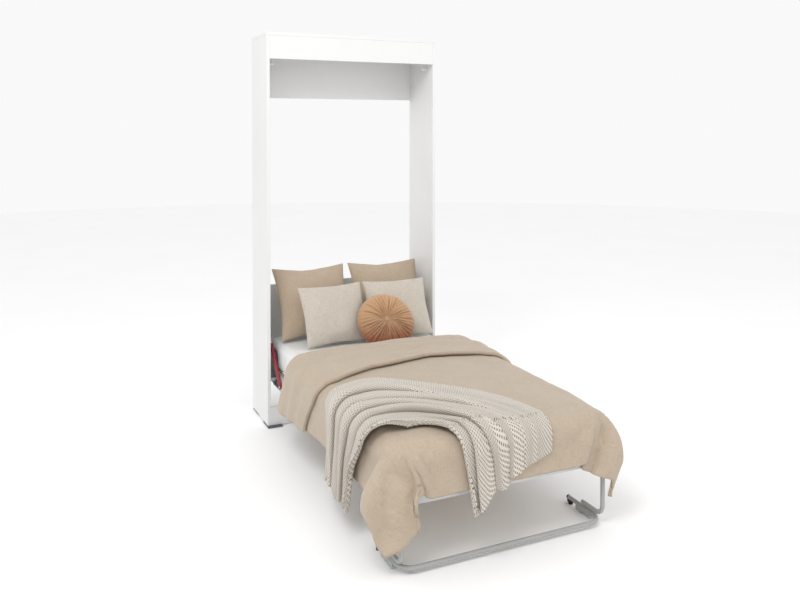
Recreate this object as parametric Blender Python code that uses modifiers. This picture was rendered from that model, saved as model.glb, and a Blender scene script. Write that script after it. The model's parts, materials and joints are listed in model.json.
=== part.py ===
"""A single vertical wall bed, folded down and made up.

The bed swings on two pivots low in an open-backed white cabinet. A folding leg carries its foot end,
and two traction gas springs balance it. Metres, +Z up, the wall at +Y and the foot of the bed at -Y.
The origin is on the floor under the middle of the object's box.
"""

import math

import bmesh
import bpy
from mathutils import Matrix, Vector

# Driving dimensions of the cabinet.
CABINET_WIDTH = 1.045
CABINET_HEIGHT = 2.200
CABINET_DEPTH = 0.330
BOARD = 0.018
HEADER_BOTTOM = 2.053
REAR_RAIL_BOTTOM = 1.846
HEADBOARD_TOP = 0.735
HEADBOARD_BOTTOM = 0.330
KICK_TOP = 0.108
FOOT_PLATE = 0.008
FOOT_PLATE_LENGTH = 0.110

# Driving dimensions of the bed.
MATTRESS_WIDTH = 0.900
MATTRESS_LENGTH = 1.880
MATTRESS_THICK = 0.160
MATTRESS_BASE = 0.2905
FRAME_WIDTH = 0.900
RAIL_THICK = 0.030
RAIL_TOP = 0.278
RAIL_LOW = 0.192
RAIL_HIGH = 0.254
SLAT_COUNT = 10
SLAT_WIDTH = 0.080
SLAT_THICK = 0.012

# The leg is bent from round tube.
TUBE_RADIUS = 0.0095
LEG_X = 0.463
LEG_PIN = 0.004
LEG_BORE = LEG_PIN + 0.0004
BASE_Z = 0.0243

# How far the bedding reaches in front of the cabinet, and to each side of its middle.
FOOT_REACH = 1.715
BEDDING_HALF = 0.560

# The throw lies between two quarter ellipses about the duvet's left foot corner: reaches in X and in Y.
THROW_OUTER = (0.720, 0.770)
THROW_INNER = (0.335, 0.200)
THROW_THICK = 0.014

# Cushions: width, height and thickness, then the round one's radius and thickness.
EURO_PILLOW = (0.452, 0.430, 0.110)
LINEN_PILLOW = (0.380, 0.340, 0.095)
ROUND_CUSHION = (0.165, 0.090)
PILLOW_LEAN = -27

GAP = 0.0003

# Places that follow from them.
FRONT_Y = (FOOT_REACH - CABINET_DEPTH) / 2
WALL_Y = FRONT_Y + CABINET_DEPTH
PANEL_INNER = CABINET_WIDTH / 2 - BOARD
TOP_UNDERSIDE = CABINET_HEIGHT - BOARD
REAR_FACE = WALL_Y - BOARD
PIVOT = Vector((0, FRONT_Y + 0.060, 0.250))
HEAD_Y = FRONT_Y + 0.2365
FOOT_Y = HEAD_Y - MATTRESS_LENGTH
MATTRESS_TOP = MATTRESS_BASE + MATTRESS_THICK
FRAME_HALF = FRAME_WIDTH / 2
RAIL_FOOT_Y = FOOT_Y - 0.001
RAIL_HEAD_Y = HEAD_Y - 0.006
PIVOT_PIN = 0.008
PIVOT_BORE = PIVOT_PIN + 0.0004
LEG_PIVOT = Vector((0, RAIL_FOOT_Y - 0.0125, 0.243))
SPRING_X = 0.478
SPRING_BODY = 0.270
SPRING_BED = Vector((0, FRONT_Y - 0.105, 0.252))
SPRING_CABINET = Vector((0, FRONT_Y + 0.270, 0.620))
DUVET_TOP = 0.492
DUVET_HEM = 0.170
FOOT_HEM = 0.262
DUVET_HALF = BEDDING_HALF - 0.015
DUVET_INNER_HALF = 0.4765
DUVET_FOOT_Y = FRONT_Y - 1.700
DUVET_HEAD_Y = FRONT_Y - 0.330

SIDES = (("left", -1), ("right", 1))


def clear_scene():
    for obj in list(bpy.data.objects):
        bpy.data.objects.remove(obj, do_unlink=True)


def make_collection(name):
    collection = bpy.data.collections.new(name)
    bpy.context.scene.collection.children.link(collection)
    return collection


clear_scene()
PARTS = make_collection("wall_bed")
CUTTERS = make_collection("cutters")


def make_material(name, colour, roughness, metallic=0.0):
    material = bpy.data.materials.new(name)
    material.use_nodes = True
    shader = material.node_tree.nodes["Principled BSDF"]
    shader.inputs["Base Color"].default_value = (*colour, 1)
    shader.inputs["Roughness"].default_value = roughness
    shader.inputs["Metallic"].default_value = metallic
    return material


WHITE_BOARD = make_material("white_board", (0.80, 0.80, 0.80), 0.45)
GREY_PAINT = make_material("grey_paint", (0.38, 0.39, 0.38), 0.40, 0.3)
FRAME_PAINT = make_material("frame_paint", (0.68, 0.69, 0.69), 0.45, 0.2)
BLACK_STEEL = make_material("black_steel", (0.015, 0.015, 0.016), 0.45, 0.5)
ZINC = make_material("zinc", (0.60, 0.61, 0.62), 0.30, 1.0)
CHROME = make_material("chrome", (0.85, 0.85, 0.86), 0.08, 1.0)
RED_PAINT = make_material("red_paint", (0.24, 0.008, 0.018), 0.25)
DARK_PLASTIC = make_material("dark_plastic", (0.10, 0.10, 0.11), 0.50)
GREY_PLASTIC = make_material("grey_plastic", (0.40, 0.41, 0.40), 0.55)
WHITE_PLASTIC = make_material("white_plastic", (0.82, 0.82, 0.81), 0.35)
RUBBER = make_material("rubber", (0.010, 0.010, 0.010), 0.70)
BIRCH = make_material("birch", (0.62, 0.45, 0.27), 0.50)
SHEET_COTTON = make_material("sheet_cotton", (0.83, 0.84, 0.83), 0.85)
DUVET_LINEN = make_material("duvet_linen", (0.52, 0.43, 0.33), 0.90)
THROW_KNIT = make_material("throw_knit", (0.66, 0.61, 0.52), 0.95)
TAN_LINEN = make_material("tan_linen", (0.46, 0.36, 0.25), 0.90)
PALE_LINEN = make_material("pale_linen", (0.58, 0.51, 0.43), 0.90)
RUST_VELVET = make_material("rust_velvet", (0.50, 0.22, 0.09), 0.80)


def add_object(name, mesh, material, collection=None):
    obj = bpy.data.objects.new(name, mesh)
    (collection or PARTS).objects.link(obj)
    if material:
        mesh.materials.append(material)
    return obj


def smooth(obj, angle=35):
    obj.data.shade_smooth()
    obj.data.set_sharp_from_angle(angle=math.radians(angle))


def add_bevel(obj, width, segments=2):
    bevel = obj.modifiers.new("Bevel", "BEVEL")
    bevel.width = width
    bevel.segments = segments
    bevel.limit_method = "ANGLE"
    bevel.angle_limit = math.radians(40)
    return bevel


def box(name, low, high, material, bevel=0.0, segments=1, collection=None):
    """A box between two corners, with its origin at its middle."""
    low = Vector(low)
    high = Vector(high)
    mesh = bpy.data.meshes.new(name)
    body = bmesh.new()
    bmesh.ops.create_cube(body, size=1, matrix=Matrix.Diagonal((*(high - low), 1)))
    body.to_mesh(mesh)
    body.free()
    obj = add_object(name, mesh, material, collection)
    obj.location = (low + high) / 2
    if bevel:
        add_bevel(obj, bevel, segments)
    return obj


def mirrored(side, near, far):
    """The low and high X of a span that runs from near to far on one side of the middle."""
    ends = sorted((side * near, side * far))
    return ends[0], ends[1]


def rod(name, start, end, radius, material, sides=24, collection=None):
    """A round bar between two points."""
    start = Vector(start)
    end = Vector(end)
    mesh = bpy.data.meshes.new(name)
    body = bmesh.new()
    bmesh.ops.create_cone(
        body, cap_ends=True, segments=sides, radius1=radius, radius2=radius, depth=(end - start).length
    )
    body.to_mesh(mesh)
    body.free()
    obj = add_object(name, mesh, material, collection)
    obj.location = (start + end) / 2
    obj.rotation_euler = (end - start).to_track_quat("Z", "Y").to_euler()
    smooth(obj)
    return obj


def outline_plate(name, points, near, far, side, material, bevel=0.0, holes=()):
    """A flat outline in Y and Z, as thick as the span from near to far across X, with round holes."""
    curve = bpy.data.curves.new(name, "CURVE")
    curve.dimensions = "2D"
    curve.fill_mode = "BOTH"
    curve.extrude = abs(far - near) / 2
    loops = [points]
    loops += [arc(centre, radius, 0, 360, 24)[:-1] for centre, radius in holes]
    for loop in loops:
        spline = curve.splines.new("POLY")
        spline.points.add(len(loop) - 1)
        spline.use_cyclic_u = True
        for point, (y, z) in zip(spline.points, loop):
            point.co = (y, z, 0, 1)
    flat = bpy.data.objects.new(name + "_flat", curve)
    PARTS.objects.link(flat)
    middle = side * (near + far) / 2
    flat.matrix_world = Matrix(((0, 0, 1, middle), (1, 0, 0, 0), (0, 1, 0, 0), (0, 0, 0, 1)))
    return as_mesh(flat, name, material, bevel)


def as_mesh(curve_object, name, material, bevel=0.0):
    """The same shape as a mesh object, welded, in place of the curve."""
    bpy.context.view_layer.update()
    graph = bpy.context.evaluated_depsgraph_get()
    mesh = bpy.data.meshes.new_from_object(curve_object.evaluated_get(graph))
    mesh.name = name
    body = bmesh.new()
    body.from_mesh(mesh)
    bmesh.ops.remove_doubles(body, verts=body.verts, dist=0.00001)
    body.to_mesh(mesh)
    body.free()
    mesh.materials.clear()
    obj = add_object(name, mesh, material)
    obj.matrix_world = curve_object.matrix_world.copy()
    bpy.data.objects.remove(curve_object, do_unlink=True)
    if bevel:
        add_bevel(obj, bevel)
    return obj


def arc(centre, radius, start, end, steps, squeeze=1.0):
    """Points of an arc, angles in degrees from the first axis towards the second.

    The second axis can be squeezed or stretched, which makes the arc part of an ellipse."""
    points = []
    for step in range(steps + 1):
        angle = math.radians(start + (end - start) * step / steps)
        across = centre[0] + radius * math.cos(angle)
        points.append((across, centre[1] + squeeze * radius * math.sin(angle)))
    return points


def rounded_path(corners, radius, steps=6):
    """The corner points of a bent tube, with each inner corner rounded to the bend radius."""
    corners = [Vector(corner) for corner in corners]
    path = [corners[0]]
    for before, corner, after in zip(corners, corners[1:], corners[2:]):
        into = (corner - before).normalized()
        out = (after - corner).normalized()
        half = into.angle(out) / 2
        reach = radius * math.tan(half)
        centre = corner + (out - into).normalized() * radius / math.cos(half)
        arm = corner - into * reach - centre
        axis = into.cross(out).normalized()
        for step in range(steps + 1):
            path.append(centre + Matrix.Rotation(2 * half * step / steps, 3, axis) @ arm)
    path.append(corners[-1])
    return path


def bent_tube(name, corners, bend_radius, material, resolution=3):
    """A round tube along rounded corners, with closed ends."""
    path = rounded_path(corners, bend_radius)
    curve = bpy.data.curves.new(name, "CURVE")
    curve.dimensions = "3D"
    curve.bevel_depth = TUBE_RADIUS
    curve.bevel_resolution = resolution
    curve.use_fill_caps = True
    spline = curve.splines.new("POLY")
    spline.points.add(len(path) - 1)
    for point, place in zip(spline.points, path):
        point.co = (*place, 1)
    guide = bpy.data.objects.new(name + "_path", curve)
    PARTS.objects.link(guide)
    obj = as_mesh(guide, name, material)
    smooth(obj, 60)
    return obj


def boolean(obj, cutter, operation="DIFFERENCE"):
    """Cuts or joins a helper shape, which stays in the cutters collection."""
    for collection in list(cutter.users_collection):
        collection.objects.unlink(cutter)
    CUTTERS.objects.link(cutter)
    cutter.hide_render = True
    cutter.display_type = "WIRE"
    modifier = obj.modifiers.new("Boolean", "BOOLEAN")
    modifier.object = cutter
    modifier.operation = operation
    modifier.solver = "EXACT"


def make_pivot(name, place, parent=None):
    """An empty on a joint's axis, which carries the pieces that turn or slide there."""
    empty = bpy.data.objects.new(name, None)
    empty.empty_display_size = 0.05
    PARTS.objects.link(empty)
    empty.location = place
    bpy.context.view_layer.update()
    if parent:
        carry(parent, [empty])
    return empty


def carry(parent, children):
    bpy.context.view_layer.update()
    for child in children:
        world = child.matrix_world.copy()
        child.parent = parent
        child.matrix_parent_inverse = parent.matrix_world.inverted()
        child.matrix_world = world


def make_cabinet():
    half = CABINET_WIDTH / 2
    inner = PANEL_INNER - GAP
    edge = 0.0008
    for label, side in SIDES:
        low, high = mirrored(side, PANEL_INNER, half)
        box(
            f"side_panel_{label}", (low, FRONT_Y, FOOT_PLATE + GAP), (high, WALL_Y, TOP_UNDERSIDE - GAP),
            WHITE_BOARD, edge,
        )
    box("top_panel", (-half, FRONT_Y, TOP_UNDERSIDE), (half, WALL_Y, CABINET_HEIGHT), WHITE_BOARD, edge)
    box(
        "header_board", (-inner, FRONT_Y, HEADER_BOTTOM), (inner, FRONT_Y + BOARD, TOP_UNDERSIDE - GAP),
        WHITE_BOARD, edge,
    )
    box(
        "rear_top_rail", (-inner, REAR_FACE, REAR_RAIL_BOTTOM), (inner, WALL_Y, TOP_UNDERSIDE - GAP),
        WHITE_BOARD, edge,
    )
    box(
        "rear_lower_board", (-inner, REAR_FACE, HEADBOARD_BOTTOM), (inner, WALL_Y, HEADBOARD_TOP),
        WHITE_BOARD, edge,
    )
    box(
        "kick_board", (-inner, FRONT_Y + 0.002, FOOT_PLATE + GAP),
        (inner, FRONT_Y + 0.002 + BOARD, KICK_TOP),
        WHITE_BOARD, edge,
    )


def make_foot_plates():
    """Flat plates under the ends of each side panel. The front pair stands a little proud."""
    outer = CABINET_WIDTH / 2
    for label, side in SIDES:
        low, high = mirrored(side, outer - 0.082, outer + 0.002)
        front = FRONT_Y - 0.020
        box(
            f"front_foot_{label}", (low, front, 0), (high, front + FOOT_PLATE_LENGTH, FOOT_PLATE),
            DARK_PLASTIC, 0.0015,
        )
        low, high = mirrored(side, outer - 0.050, outer - 0.001)
        back = WALL_Y - 0.002
        box(
            f"rear_foot_{label}", (low, back - FOOT_PLATE_LENGTH, 0), (high, back, FOOT_PLATE),
            DARK_PLASTIC, 0.0015,
        )


def make_stop_pegs():
    """A short buffer peg near the top of each side panel, with a wider head."""
    y = FRONT_Y + 0.075
    z = HEADER_BOTTOM - 0.025
    for label, side in SIDES:
        start = (side * (PANEL_INNER - GAP), y, z)
        neck = (side * (PANEL_INNER - 0.028), y, z)
        tip = (side * (PANEL_INNER - 0.037), y, z)
        peg = rod(f"stop_peg_{label}", start, tip, 0.0055, WHITE_PLASTIC)
        boolean(peg, rod(f"peg_head_{label}", neck, tip, 0.0085, None), "UNION")


def make_pivot_hardware():
    """The steel plate and fixed pin that carry the bed on each side panel."""
    y, z = PIVOT.y, PIVOT.z
    for label, side in SIDES:
        points = (
            arc((y - 0.020, z - 0.055), 0.015, 180, 270, 4)
            + arc((y + 0.045, z - 0.055), 0.015, 270, 360, 4)
            + arc((y + 0.045, z + 0.055), 0.015, 0, 90, 4)
            + arc((y - 0.020, z + 0.055), 0.015, 90, 180, 4)
        )
        near = PANEL_INNER - GAP - 0.005
        plate = outline_plate(f"pivot_plate_{label}", points, near, near + 0.005, side, BLACK_STEEL)
        for dy, dz in ((-0.018, -0.053), (0.043, -0.053), (-0.018, 0.053), (0.043, 0.053)):
            start = (side * (near - 0.0022), y + dy, z + dz)
            end = (side * (near + 0.002), y + dy, z + dz)
            boolean(plate, rod(f"pivot_screw_{label}", start, end, 0.0055, None, 12), "UNION")
        inner = (side * (FRAME_HALF - 0.009), y, z)
        outer = (side * (near - GAP), y, z)
        pin = rod(f"pivot_pin_{label}", inner, outer, PIVOT_PIN, ZINC)
        collar = rod(f"pin_collar_{label}", (side * (FRAME_HALF + 0.0075), y, z), outer, 0.012, None)
        boolean(pin, collar, "UNION")


def make_spring_brackets():
    """The plates that hold the springs: one on each side panel, one on each side rail."""
    for label, side in SIDES:
        near = PANEL_INNER - GAP - 0.004
        y, z = SPRING_CABINET.y, SPRING_CABINET.z
        low, high = mirrored(side, near, near + 0.004)
        plate = box(
            f"spring_bracket_{label}", (low, y - 0.030, z - 0.035), (high, y + 0.030, z + 0.035),
            BLACK_STEEL, 0.001,
        )
        root = (side * (near + 0.002), y, z)
        stud = rod(f"upper_stud_{label}", root, (side * (SPRING_X + 0.009), y, z), 0.006, None)
        boolean(plate, stud, "UNION")
        y, z = SPRING_BED.y, SPRING_BED.z
        low, high = mirrored(side, FRAME_HALF + GAP, FRAME_HALF + 0.004)
        plate = box(
            f"rail_bracket_{label}", (low, y - 0.032, z - 0.018), (high, y + 0.032, z + 0.018), ZINC, 0.001
        )
        root = (side * (FRAME_HALF + 0.002), y, z)
        stud = rod(f"lower_stud_{label}", root, (side * (SPRING_X + 0.010), y, z), 0.0045, None)
        boolean(plate, stud, "UNION")


def make_bed_frame():
    """Two side rails, deeper at the head and cut away at the foot for the folded leg, and two end rails."""
    head, foot = RAIL_HEAD_Y, RAIL_FOOT_Y
    side_foot = foot + RAIL_THICK + GAP
    side_head = head - RAIL_THICK - GAP
    for label, side in SIDES:
        points = [
            (side_head, RAIL_TOP),
            (side_foot, RAIL_TOP),
            (side_foot, RAIL_HIGH),
            (foot + 0.300, RAIL_HIGH),
            (foot + 0.380, RAIL_LOW),
            (PIVOT.y + 0.090, RAIL_LOW),
            (side_head, RAIL_HIGH - 0.010),
        ]
        hole = ((PIVOT.y, PIVOT.z), PIVOT_BORE)
        near = FRAME_HALF - RAIL_THICK
        outline_plate(f"side_rail_{label}", points, near, FRAME_HALF, side, FRAME_PAINT, 0.002, [hole])
    top = RAIL_TOP + SLAT_THICK
    half = FRAME_HALF
    box("foot_rail", (-half, foot, RAIL_HIGH), (half, foot + RAIL_THICK, top), FRAME_PAINT, 0.002)
    box("head_rail", (-half, head - RAIL_THICK, RAIL_HIGH), (half, head, top), FRAME_PAINT, 0.002)
    first = foot + RAIL_THICK + 0.060
    last = head - RAIL_THICK - 0.060 - SLAT_WIDTH
    for index in range(SLAT_COUNT):
        start = first + (last - first) * index / (SLAT_COUNT - 1)
        box(
            f"slat_{index + 1:02d}", (-half + 0.004, start, RAIL_TOP + GAP),
            (half - 0.004, start + SLAT_WIDTH, RAIL_TOP + SLAT_THICK), BIRCH, 0.003,
        )


def make_arm_plates():
    """The black steel arm on each side rail, which turns on the pivot pin and guards the mattress."""
    y, z = PIVOT.y, PIVOT.z
    for label, side in SIDES:
        points = (
            arc((y - 0.010, z - 0.015), 0.030, 180, 270, 5)
            + arc((y + 0.090, z - 0.015), 0.030, 270, 360, 5)
            + arc((y + 0.090, z + 0.125), 0.030, 0, 90, 5)
            + arc((y + 0.020, z + 0.125), 0.030, 90, 165, 5)
        )
        hole = ((y, z), PIVOT_BORE)
        near = FRAME_HALF + 0.0012
        outline_plate(f"arm_plate_{label}", points, near, near + 0.005, side, BLACK_STEEL, 0.0, [hole])


def make_gas_spring(label, side):
    """A red cylinder on the bed and a bright rod that runs up to the cabinet's bracket."""
    lower = SPRING_BED + Vector((side * SPRING_X, 0, 0))
    upper = SPRING_CABINET + Vector((side * SPRING_X, 0, 0))
    along = (upper - lower).normalized()
    open_length = (upper - lower).length
    eye = Vector((side * 0.0075, 0, 0))
    mouth = lower + along * SPRING_BODY
    cylinder = rod(f"gas_cylinder_{label}", lower + along * 0.008, mouth, 0.011, RED_PAINT, 28)
    cylinder_eye = rod(f"cylinder_eye_{label}", lower - eye, lower + eye, 0.0115, None)
    boolean(cylinder, cylinder_eye, "UNION")
    rod_bore = rod(f"rod_bore_{label}", lower + along * 0.024, mouth + along * 0.01, 0.0056, None)
    boolean(cylinder, rod_bore)
    boolean(cylinder, rod(f"stud_bore_{label}", lower - 2 * eye, lower + 2 * eye, 0.0050, None))
    inner_end = lower + along * (open_length - SPRING_BODY + 0.005)
    spring_rod = rod(f"gas_rod_{label}", inner_end, upper - along * 0.006, 0.005, CHROME)
    boolean(spring_rod, rod(f"rod_eye_{label}", upper - eye, upper + eye, 0.0110, None), "UNION")
    return cylinder, spring_rod


def make_leg():
    """Two bent uprights on a U-shaped floor tube, with glides and rubber end pads."""
    y = LEG_PIVOT.y
    arm_tip = y + 0.230
    base = bent_tube(
        "leg_base",
        [(-LEG_X, arm_tip, BASE_Z), (-LEG_X, y, BASE_Z), (LEG_X, y, BASE_Z), (LEG_X, arm_tip, BASE_Z)],
        0.062, GREY_PAINT,
    )
    pieces = [base]
    upper_z = BASE_Z + 2 * TUBE_RADIUS + 0.0015
    for label, side in SIDES:
        x = side * LEG_X
        upright = bent_tube(
            f"leg_upright_{label}",
            [(x, y, LEG_PIVOT.z + 0.010), (x, y, upper_z), (x, y + 0.135, upper_z)],
            0.042, GREY_PAINT,
        )
        z = LEG_PIVOT.z
        boolean(upright, rod(f"leg_bore_{label}", (x - 0.02, y, z), (x + 0.02, y, z), LEG_BORE, None))
        pad_y = arm_tip - 0.012
        tube_underside = BASE_Z - TUBE_RADIUS - GAP
        pad = rod(f"leg_pad_{label}", (x, pad_y, 0), (x, pad_y, tube_underside), 0.0105, RUBBER)
        cap_end = (x, arm_tip + 0.007, BASE_Z)
        cap = rod(f"end_cap_{label}", (x, arm_tip + GAP, BASE_Z), cap_end, TUBE_RADIUS - GAP, None)
        bridge = box(
            f"pad_bridge_{label}", (x - 0.005, pad_y, 0.004), (x + 0.005, arm_tip + 0.0065, 0.0140), None
        )
        lip = box(
            f"cap_lip_{label}", (x - 0.005, arm_tip + 0.001, 0.005),
            (x + 0.005, arm_tip + 0.006, BASE_Z), None,
        )
        for piece in (bridge, lip, cap):
            boolean(pad, piece, "UNION")
        pieces += [upright, pad, make_glide(label, x, y)]
    return pieces


def make_glide(label, x, y):
    """A grey floor glide clipped under the arm, notched in the middle."""
    start = y + 0.066
    end = y + 0.170
    glide = box(
        f"leg_glide_{label}", (x - 0.0125, start, 0), (x + 0.0125, end, BASE_Z + 0.001),
        GREY_PLASTIC, 0.002,
    )
    groove = rod(
        f"glide_groove_{label}", (x, start - 0.01, BASE_Z), (x, end + 0.01, BASE_Z),
        TUBE_RADIUS + 0.0005, None, 32,
    )
    boolean(glide, groove)
    middle = (start + end) / 2
    notch = box(
        f"glide_notch_{label}", (x - 0.02, middle - 0.006, -0.01), (x + 0.02, middle + 0.006, 0.008), None
    )
    boolean(glide, notch)
    return glide


def make_leg_hinges():
    """The plate beside each end of the foot rail, its gusset, and the pin that the leg hangs on."""
    y, z = LEG_PIVOT.y, LEG_PIVOT.z
    pieces = []
    for label, side in SIDES:
        near = FRAME_HALF + GAP
        far = near + 0.0025
        points = (
            [(y + 0.060, z + 0.033), (y + 0.004, z + 0.033)]
            + arc((y, z), 0.011, 90, 270, 8)
            + [(y + 0.006, z - 0.011), (y + 0.060, z + 0.013)]
        )
        plate = outline_plate(f"leg_bracket_{label}", points, near, far, side, GREY_PAINT)
        gusset = outline_gusset(f"gusset_{label}", side, far, y)
        boolean(plate, gusset, "UNION")
        bore = rod(f"bracket_bore_{label}", (side * 0.44, y, z), (side * 0.46, y, z), LEG_BORE, None)
        boolean(plate, bore)
        inner = (side * (near - 0.003), y, z)
        tube_face = LEG_X + TUBE_RADIUS
        outer = (side * (tube_face + 0.0035), y, z)
        pin = rod(f"leg_pin_{label}", inner, outer, LEG_PIN, ZINC, 16)
        head = rod(f"pin_head_{label}", (side * (tube_face + 0.0008), y, z), outer, 0.0070, None, 16)
        boolean(pin, head, "UNION")
        pieces += [plate, pin]
    return pieces


def outline_gusset(name, side, far, y):
    """A diagonal strut below the foot rail, in the plane across the bed."""
    curve = bpy.data.curves.new(name, "CURVE")
    curve.dimensions = "2D"
    curve.fill_mode = "BOTH"
    curve.extrude = 0.0015
    spline = curve.splines.new("POLY")
    outline = [
        (far, RAIL_HIGH - GAP), (far - 0.036, RAIL_HIGH - GAP), (far - 0.036, RAIL_HIGH - 0.006),
        (far - 0.0022, RAIL_HIGH - 0.040), (far, RAIL_HIGH - 0.040),
    ]
    spline.points.add(len(outline) - 1)
    spline.use_cyclic_u = True
    for point, (x, z) in zip(spline.points, outline):
        point.co = (side * x, z, 0, 1)
    flat = bpy.data.objects.new(name + "_flat", curve)
    PARTS.objects.link(flat)
    flat.matrix_world = Matrix(((1, 0, 0, 0), (0, 0, -1, y + 0.0035), (0, 1, 0, 0), (0, 0, 0, 1)))
    return as_mesh(flat, name, None)


def make_mattress():
    half = MATTRESS_WIDTH / 2
    mattress = box(
        "mattress", (-half, FOOT_Y, MATTRESS_BASE), (half, HEAD_Y, MATTRESS_TOP), SHEET_COTTON, 0.050, 4
    )
    smooth(mattress, 60)
    return mattress


def make_duvet():
    """The duvet as a hollow cover that falls past both sides and the foot, higher across the foot."""
    duvet = box(
        "duvet", (-DUVET_HALF, DUVET_FOOT_Y, DUVET_HEM), (DUVET_HALF, DUVET_HEAD_Y, DUVET_TOP),
        DUVET_LINEN, 0.025, 3,
    )
    hollow = box(
        "duvet_hollow", (-DUVET_INNER_HALF, LEG_PIVOT.y - 0.013, 0),
        (DUVET_INNER_HALF, DUVET_HEAD_Y + 0.1, MATTRESS_TOP + GAP), None,
    )
    boolean(duvet, hollow)
    foot_window = box(
        "duvet_window", (-0.430, DUVET_FOOT_Y - 0.05, 0), (0.430, LEG_PIVOT.y, FOOT_HEM), None
    )
    boolean(duvet, foot_window)
    flare = box(
        "duvet_flare", (DUVET_HALF - 0.03, DUVET_FOOT_Y + 0.004, DUVET_HEM + 0.002),
        (BEDDING_HALF, DUVET_FOOT_Y + 0.20, 0.380), None,
    )
    boolean(duvet, flare, "UNION")
    smooth(duvet, 60)
    return duvet


def make_throw():
    """A gathered knitted throw that arches round the left foot corner, with a tail down each edge."""
    low = DUVET_TOP + GAP
    left = -DUVET_HALF - GAP
    foot = DUVET_FOOT_Y - GAP
    corner = (left, foot)
    outer = arc(corner, THROW_OUTER[0], 0, 90, 12, THROW_OUTER[1] / THROW_OUTER[0])
    inner = arc(corner, THROW_INNER[0], 90, 0, 12, THROW_INNER[1] / THROW_INNER[0])
    outline = []
    for x, y in outer + inner:
        # The two ends reach out over the tails.
        over_side = THROW_THICK if x < left + 0.001 else 0
        over_foot = THROW_THICK if y < foot + 0.001 else 0
        outline.append((x - over_side, y - over_foot))
    curve = bpy.data.curves.new("throw", "CURVE")
    curve.dimensions = "2D"
    curve.fill_mode = "BOTH"
    curve.extrude = THROW_THICK / 2
    spline = curve.splines.new("POLY")
    spline.points.add(len(outline) - 1)
    spline.use_cyclic_u = True
    for point, (x, y) in zip(spline.points, outline):
        point.co = (x, y, 0, 1)
    flat = bpy.data.objects.new("throw_flat", curve)
    PARTS.objects.link(flat)
    flat.location = (0, 0, low + THROW_THICK / 2)
    throw = as_mesh(flat, "throw", THROW_KNIT)
    side_tail = box(
        "throw_side", (left - THROW_THICK, foot + 0.340, 0.075),
        (left, foot + 0.690, low + THROW_THICK / 2), None,
    )
    boolean(throw, side_tail, "UNION")
    foot_tail = box(
        "throw_foot", (left + 0.345, foot - THROW_THICK, 0.240),
        (left + 0.690, foot, low + THROW_THICK / 2), None,
    )
    boolean(throw, foot_tail, "UNION")
    return throw


def pillow(name, size, place, material):
    """A stuffed square: a coarse cage, thin at the corners, under a subdivision surface."""
    width, height, thick = size
    mesh = bpy.data.meshes.new(name)
    body = bmesh.new()
    bmesh.ops.create_cube(body, size=1, matrix=Matrix.Diagonal((width, thick, height, 1)))
    bmesh.ops.subdivide_edges(body, edges=body.edges, cuts=2, use_grid_fill=True)
    for vert in body.verts:
        across = abs(vert.co.x) / (width / 2)
        up = abs(vert.co.z) / (height / 2)
        rim = max(across, up)
        if rim > 0.9:
            vert.co.y *= 0.10 if min(across, up) > 0.9 else 0.35
    body.to_mesh(mesh)
    body.free()
    obj = add_object(name, mesh, material)
    obj.location = place
    obj.rotation_euler = (math.radians(PILLOW_LEAN), 0, 0)
    cage = obj.modifiers.new("Subdivision", "SUBSURF")
    cage.levels = 2
    cage.render_levels = 2
    smooth(obj, 180)
    return obj


def make_pillows():
    """Two large square pillows against the headboard, and two smaller ones in front of them."""
    pillows = []
    for label, side in SIDES:
        place = (0.029 + side * 0.236, FRONT_Y + 0.140, 0.652)
        pillows.append(pillow(f"euro_pillow_{label}", EURO_PILLOW, place, TAN_LINEN))
        place = (0.045 + side * 0.196, FRONT_Y - 0.055, 0.618)
        pillows.append(pillow(f"linen_pillow_{label}", LINEN_PILLOW, place, PALE_LINEN))
    return pillows


def make_round_cushion():
    """A round pleated cushion, as a fat disc turned about its own axis."""
    radius, thick = ROUND_CUSHION
    mesh = bpy.data.meshes.new("round_cushion")
    body = bmesh.new()
    bmesh.ops.create_uvsphere(body, u_segments=28, v_segments=12, radius=1)
    body.transform(Matrix.Diagonal((radius, radius, thick / 2, 1)))
    body.to_mesh(mesh)
    body.free()
    obj = add_object("round_cushion", mesh, RUST_VELVET)
    obj.location = (0.119, FRONT_Y - 0.195, 0.606)
    obj.rotation_euler = (math.radians(62), 0, math.radians(-8))
    smooth(obj, 180)
    return obj


def build():
    make_cabinet()
    make_foot_plates()
    make_stop_pegs()
    make_pivot_hardware()
    make_spring_brackets()
    make_bed_frame()
    make_arm_plates()
    springs = {label: make_gas_spring(label, side) for label, side in SIDES}
    leg = make_leg()
    hinges = make_leg_hinges()
    bedding = [make_mattress(), make_duvet(), make_throw(), make_round_cushion()] + make_pillows()

    bed_pivot = make_pivot("bed_pivot", PIVOT)
    leg_pivot = make_pivot("leg_pivot", LEG_PIVOT, bed_pivot)
    carry(leg_pivot, leg)
    for label, side in SIDES:
        cylinder, spring_rod = springs[label]
        eye = SPRING_BED + Vector((side * SPRING_X, 0, 0))
        tilt = make_pivot(f"spring_pivot_{label}", eye, bed_pivot)
        carry(tilt, [cylinder, spring_rod])
    starts = ("side_rail", "foot_rail", "head_rail", "slat", "arm_plate", "rail_bracket")
    frame = [obj for obj in PARTS.objects if obj.name.startswith(starts)]
    carry(bed_pivot, frame + hinges + bedding)


build()
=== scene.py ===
"""A vertical wall bed, open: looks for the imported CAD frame, in metres, +Z up, head end toward +Y."""

import json
import math

import bmesh
import bpy
import numpy as np
from mathutils import Matrix, Vector, noise


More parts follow.
